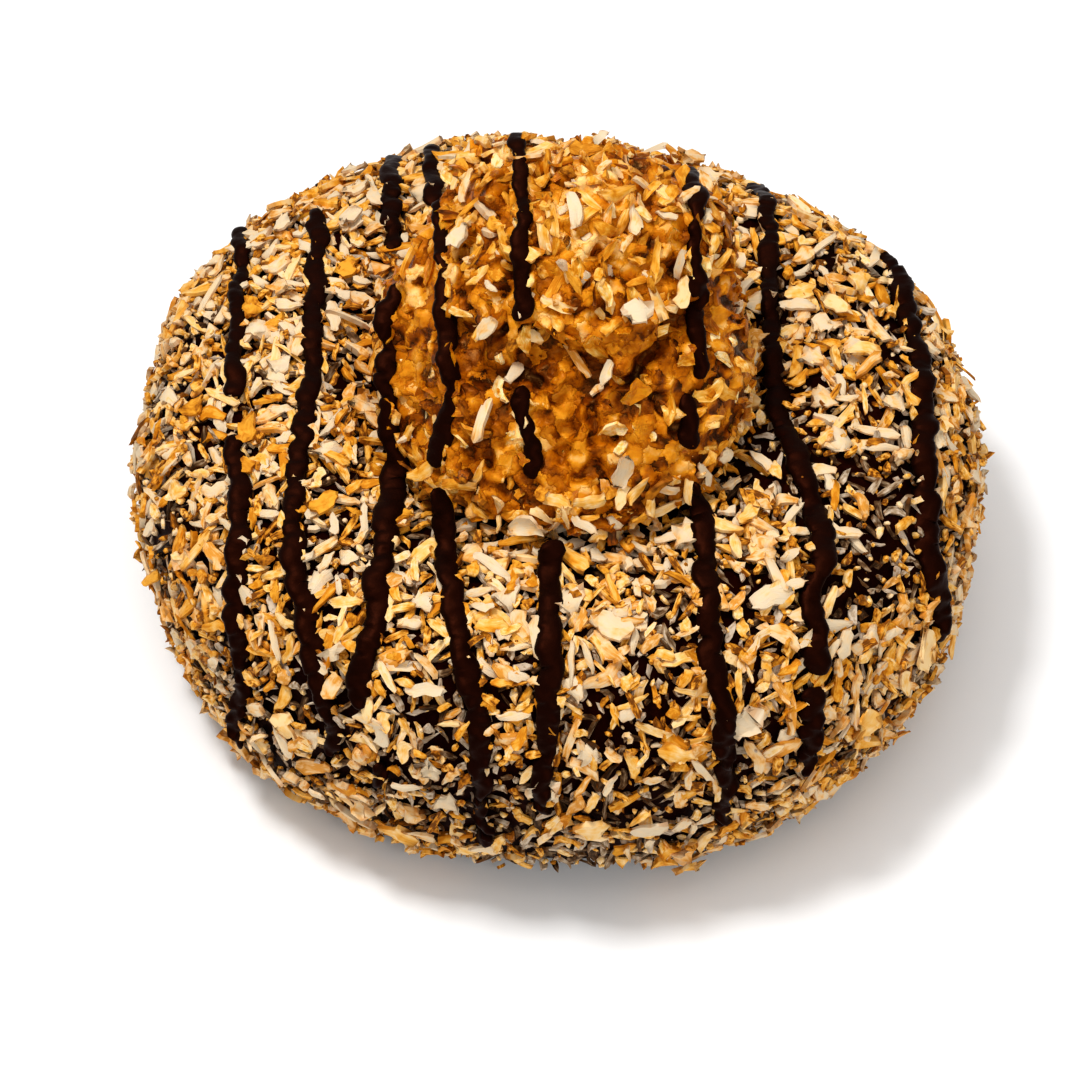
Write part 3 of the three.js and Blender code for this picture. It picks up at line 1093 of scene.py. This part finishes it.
print("mean cover of the macaroon:", round(mark(core, "cover", sticks_to_macaroon), 2))
macaroon_top = [
    strew("macaroon_golden_flakes", core, "flakes", "golden",
          seed=81, spacing=1.7, sizes=(0.7, 1.35), tilt=0.3, lifts=(0.1, 0.9)),
    strew("macaroon_browned_flakes", core, "flakes", "browned",
          seed=85, spacing=3.0, sizes=(0.7, 1.3), tilt=0.3, lifts=(0.2, 1.0)),
    strew("macaroon_pale_flakes", core, "flakes", "pale",
          seed=91, spacing=2.9, sizes=(0.6, 1.2), tilt=0.5, lifts=(0.4, 1.1)),
    set_down("macaroon_large_pale_flakes", MACAROON_LARGE_PALE, core, "pale", seed=15, lift=1.4),
]
bpy.data.objects.remove(core)
coat.data.attributes.remove(coat.data.attributes["cover"])

# %% [markdown]
# ## Eight strands of drizzle
#
# Melted chocolate is thrown from a spoon in quick passes, so each strand is a nearly straight line with
# small wobbles, thick where the spoon slowed down and broken where it fell over an edge. Each strand is a
# list of unbroken runs, and each run is a list of given places.

# %% Routes of the strands, in millimetres
ROUTES = [
    [[(-34.5, 25.5, 31), (-34.5, 14, 34), (-34.5, 5.5, 35), (-34.5, -1.5, 35)],
     [(-34.5, -5.5, 35), (-33.5, -16, 34), (-34, -21, 33), (-34, -25.5, 29), (-34, -29, 23), (-34, -31, 12)]],
    [[(-26.5, 33, 29), (-26.5, 31.5, 30)],
     [(-26, 25, 34), (-26, 11, 36), (-26.5, -2.5, 36), (-27.5, -15.5, 36), (-27.5, -21, 35), (-26, -30, 32),
      (-24.5, -35.5, 27), (-23.5, -38, 20)]],
    [[(-18, 38, 30), (-18, 25.5, 35), (-17.5, 18, 36)],
     [(-17.5, 4, 49), (-18, -2.5, 45), (-17.5, -8, 40), (-17.5, -14, 36), (-18, -22, 36), (-19, -29.5, 35),
      (-20.5, -35.5, 31), (-19.5, -37.5, 29)],
     [(-19, -40, 23), (-19, -41.5, 19)]],
    [[(-14, 37, 33), (-13.5, 24, 36)],
     [(-13, 11, 54), (-12.5, 2, 54), (-12, -5, 51), (-11.5, -11, 48), (-12.5, -14.5, 42), (-12.5, -15.5, 41)],
     [(-12, -16.5, 36), (-11.5, -23, 36), (-10, -32.5, 35), (-8.5, -37.5, 32), (-8, -41.5, 27),
      (-8, -43.5, 12)]],
    [[(-4, 38, 33), (-4, 24, 36)],
     [(-4, 14.5, 59), (-4, 8.5, 61.5), (-4, 4, 61.5), (-4, -2, 60), (-3.5, -7.5, 55)],
     [(-4, -11, 50), (-3, -14, 46), (-2, -18, 42)],
     [(-1, -22, 36), (-0.5, -30.5, 36), (-1, -38, 32), (-1.5, -42, 27), (-1.5, -44.5, 19)]],
    [[(13.5, 15, 54), (14, 5, 59), (13.5, 1.5, 57), (14.5, -2.5, 55), (15, -5, 52), (14.5, -9.5, 48)],
     [(14, -10.5, 48), (13.5, -15, 43)],
     [(14.5, -16, 40), (15, -18, 36), (15.5, -25.5, 36), (16, -33, 34), (17, -38, 29), (17.5, -42.5, 14)]],
    [[(22.5, 34, 30), (23, 26, 35), (23, 12.5, 36), (23, 0.5, 36), (24.5, -7.5, 36), (27, -15, 36),
      (27.5, -20, 35), (26.5, -27, 34), (27, -32, 31), (27, -34, 29.5)],
     [(26.5, -34.2, 29), (26.5, -36, 26.5), (26.5, -38, 22), (26, -39, 18)]],
    [[(36, 22.5, 31), (37.5, 15, 32), (38.5, 4.5, 32), (38.5, -5.5, 32), (39.5, -12, 31), (40.5, -18.5, 28),
      (41.5, -21, 22), (41, -22.5, 19)]],
]
print(len(ROUTES), "strands in", sum(len(route) for route in ROUTES), "runs")

# %% [markdown]
# A curve object could smooth a route by itself, but the points between have to be known, because each is
# laid on the food. So the curve through a run's places is worked out here, in steps of a third of a
# millimetre.

# %% A smooth line through a few places
STEP = 0.3 * MM


def curve_through(points):
    """Points a short step apart on a smooth curve through the given ones (Catmull-Rom)."""
    ends = [points[0] * 2 - points[1], *points, points[-1] * 2 - points[-2]]
    made = []
    for a, b, c, d in zip(ends, ends[1:], ends[2:], ends[3:]):
        steps = max(1, round((c - b).length / STEP))
        for step in range(steps):
            t = step / steps
            made.append(0.5 * (2 * b + (c - a) * t + (2 * a - 5 * b + 4 * c - d) * t**2
                               + (3 * b - a - 3 * c + d) * t**3))
    return made + [points[-1]]


def running(values, reach, combine):
    """Each value combined with its neighbours within reach."""
    count = max(1, round(reach / STEP))
    return [combine(values[max(0, n - count): n + count + 1]) for n in range(len(values))]


def mean(values):
    return sum(values[1:], values[0]) / len(values)


# %% [markdown]
# Falling chocolate comes to rest on the highest flakes below it and bridges the gaps between them. Each
# point of a run is brought to the CAD surface, and from outside three feelers across the strand are cast
# back at all that lies there. The highest find lifts the point, and a running mean turns the jumps from
# flake to flake into gentle waves.

# %% Lay a run on whatever is under it
CLEAR = 6 * MM
FEELERS = (-0.7 * MM, 0.0, 0.7 * MM)
BRIDGE = 0.6 * MM
EASE = 0.9 * MM
DIRECTIONS_OVER = 1.2 * MM
BEAD_SINK = 0.2 * MM

toppings = [surface_of(piece) for piece in (coat, heap, *soaked_shreds, *ring_coconut, *macaroon_top)]


def lay(points):
    """The line that a strand's middle follows."""
    feet, normals = [], []
    for point in curve_through([Vector(p) * MM for p in points]):
        hits = [skin.find_nearest(point) for skin in cad_skins]
        foot, normal = min(hits, key=lambda hit: hit[3])[:2]
        feet.append(foot)
        normals.append(normal)
    for _ in range(2):
        normals = [normal.normalized() for normal in running(normals, DIRECTIONS_OVER, mean)]
    lifts = []
    for foot, normal, behind, ahead in zip(feet, normals, [feet[0], *feet], [*feet[1:], feet[-1]]):
        side = (ahead - behind).cross(normal).normalized()
        starts = [foot + side * across + normal * CLEAR for across in FEELERS]
        distances = [top.ray_cast(start, -normal, 2 * CLEAR)[3] for top in toppings for start in starts]
        lifts.append(CLEAR - min((d for d in distances if d is not None), default=CLEAR))
    lifts = running(running(running(lifts, BRIDGE, max), EASE, mean), EASE, mean)
    line = [foot + normal * (lift - BEAD_SINK) for foot, normal, lift in zip(feet, normals, lifts)]
    return running(line, EASE, mean)


# %% [markdown]
# A curve's own Bevel would make a strand of one thickness. Real drizzle is a flattened bead that swells and
# thins, wanders a little and ends in a round drop. The recipe sweeps a flattened circle along the line,
# with a radius that follows noise, thins towards the back, down the side and over the macaroon, and closes
# at both ends.


# %% The bead recipe
ROUND_END = 0.55  # how long a strand's round end is, as a share of its width
BLUNT_TIP = 0.02  # the share of the radius that is left at the very end
BEAD_SIDES = 14


def beading():
    tree = Recipe("beading", "Width", "Flatness", "Unevenness", "Wander")
    place, normal = tree.node("GeometryNodeInputPosition"), tree.node("GeometryNodeInputNormal")
    along = tree.node("GeometryNodeSplineParameter", output="Length")
    whole = tree.node("GeometryNodeSplineLength", output="Length")
    where = axes(place)
    from_end = maths("MINIMUM", along, whole - along)
    taper = maths("MINIMUM", from_end / (ROUND_END * tree["Width"]), 0.999)
    rounded = maths("SQRT", taper * (2 - taper))
    slow = grain(place, 4 * MM, 1.0) - 0.5
    quick = grain(place, 1.1 * MM, 2.0) - 0.5
    back = between(where.out("Y"), -30 * MM, 35 * MM)
    down = between(0 - where.out("Z"), -33 * MM, -18 * MM)
    high = between(where.out("Z"), 38 * MM, 46 * MM)
    swell = 1.05 - 0.3 * back - 0.15 * (down + high) + tree["Unevenness"] * (2 * slow + 1.3 * quick)
    radius = (rounded + BLUNT_TIP) * swell * tree["Width"] * 0.5
    wander = vector(tree["Wander"] * (grain(place, 2.8 * MM, 1.0) - 0.5))
    wandering = tree.move(tree["Surface"], wander)
    line = tree.node("GeometryNodeSetCurveNormal", {"mode": "Z_UP"}, {"Curve": wandering})
    circle = tree.node("GeometryNodeCurvePrimitiveCircle", {}, {"Resolution": BEAD_SIDES, "Radius": 1.0},
                       "Curve")
    flat = vector(1.0, tree["Flatness"], 1.0)
    profile = tree.node("GeometryNodeTransform", {}, {"Geometry": circle, "Scale": flat})
    bead = tree.node("GeometryNodeCurveToMesh", {}, {
        "Curve": line, "Profile Curve": profile, "Scale": radius, "Fill Caps": True})
    dent = (grain(place, 1.3 * MM, 1.0) - 0.5) * tree["Unevenness"] * tree["Width"] * 0.5
    return tree.serve(tree.move(bead, scaled(normal, dent)))


# %% [markdown]
# The drizzle is the same chocolate as the coat, but it set in the open: smoother, a little glossier, and
# still nearly black. Each strand is a piece of its own, with its own width in millimetres, so that it can
# be changed alone.

# %% Throw the strands
BEAD_WIDTHS = [2.1, 2.3, 2.5, 2.3, 2.2, 2.25, 2.35, 2.8]


def drizzled_chocolate(tree):
    place = tree.node("ShaderNodeTexCoord", output="Object")
    cloud = grain(place, 4 * MM, 3.0)
    speck = grain(place, 0.9 * MM, 3.0)
    return {"Base Color": ramp(cloud, [(0.3, (10, 2, 0)), (0.7, (20, 5, 2))]),
            "Roughness": 0.35 + 0.25 * cloud, "Normal": bump(speck, 0.35, 0.2 * MM),
            "Specular IOR Level": 0.2, "Specular Tint": srgb(225, 115, 75)}


def line_object(name, lines):
    """A curve object with one spline for each line."""
    curve = bpy.data.curves.new(name, "CURVE")
    curve.dimensions = "3D"
    for line in lines:
        spline = curve.splines.new("POLY")
        spline.points.add(len(line) - 1)
        for point, place in zip(spline.points, line):
            point.co = (*place, 1.0)
    return bpy.data.objects.new(name, curve)


bead = beading()
drizzle = finish("drizzled_chocolate", drizzled_chocolate)
for number, (route, width) in enumerate(zip(ROUTES, BEAD_WIDTHS), 1):
    line = line_object("line", [lay(run) for run in route])
    strand = cook(f"drizzle_{number}", line, bead, Width=width * MM, Flatness=0.42, Unevenness=0.5,
                  Wander=2.0 * MM, Finish=drizzle)
    strand.data.shade_smooth()
    hand_in(strand)
    bpy.data.objects.remove(line)

# %% [markdown]
# ## Floor, light and camera
#
# Food is shown best on a plain pale table. The floor is one large square, wide enough that no view from the
# side finds its edge.

# %% Floor
FLOOR_REACH = 3.0
CORNERS = ((-1, -1), (1, -1), (1, 1), (-1, 1))

square = bpy.data.meshes.new("floor")
square.from_pydata([(x * FLOOR_REACH, y * FLOOR_REACH, 0) for x, y in CORNERS], [], [(0, 1, 2, 3)])
square.materials.append(finish("floor", lambda tree: {"Base Color": srgb(244, 244, 244), "Roughness": 0.7}))
floor = add("floor", square)
floor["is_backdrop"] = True
print("the floor is", 2 * FLOOR_REACH, "m wide")

# %% [markdown]
# Large soft lamps show the food as a small studio would. The key light stands high up to the left and a
# little behind, so that the macaroon throws a soft shadow to the right and each flake has a lit and a
# shaded side. A wide lamp overhead, a weak one in front and the pale world fill the shadows.


# %% Lamps
def lamp(name, azimuth, elevation, distance, size, power):
    """A square soft box that looks at the middle of the doughnut. Azimuth 0 is in front, 90 to the right."""
    light = bpy.data.lights.new(name, "AREA")
    light.size = size
    light.energy = power
    made = add(name, light)
    turn, rise = math.radians(azimuth), math.radians(elevation)
    away = Vector((math.sin(turn) * math.cos(rise), -math.cos(turn) * math.cos(rise), math.sin(rise)))
    made.location = (cad_low + cad_high) / 2 + away * distance
    made.rotation_euler = away.to_track_quat("Z", "Y").to_euler()


lamp("key", azimuth=262, elevation=72, distance=0.6, size=0.12, power=1.9)
lamp("top", azimuth=180, elevation=84, distance=0.6, size=0.6, power=1.2)
lamp("fill", azimuth=20, elevation=38, distance=0.8, size=0.4, power=1.5)

world = bpy.data.worlds.new("studio")
world.use_nodes = True
background = world.node_tree.nodes["Background"]
background.inputs["Color"].default_value = (1.0, 1.0, 1.0, 1.0)
background.inputs["Strength"].default_value = 0.36
bpy.context.scene.world = world
bpy.context.scene.view_settings.view_transform = "Standard"
bpy.context.scene.view_settings.look = "Medium High Contrast"
print(len(bpy.data.lights), "lamps")

# %% [markdown]
# The camera looks down steeply from the front, half a metre away, so that the ring, the macaroon's front
# and all strands are seen at once. A long lens keeps the perspective as gentle as it is at arm's length.

# %% Camera
ELEVATION = math.radians(54)
DISTANCE = 0.506
LENS = 153.7

look_at = Vector((-1.8, -4.8, 14.0)) * MM
towards_camera = Vector((0, -math.cos(ELEVATION), math.sin(ELEVATION)))
camera = add("camera", bpy.data.cameras.new("camera"))
camera.data.lens = LENS
camera.location = look_at + towards_camera * DISTANCE
camera.rotation_euler = towards_camera.to_track_quat("Z", "Y").to_euler()
bpy.context.scene.camera = camera
print("the camera stands", round(camera.location.z, 2), "m above the table")

# %% Sizes, and the end
low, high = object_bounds()
past = zip((*cad_low, *high), (*low, *cad_high))
print("grows past the CAD box, mm:", [round((outer - inner) / MM, 2) for outer, inner in past])
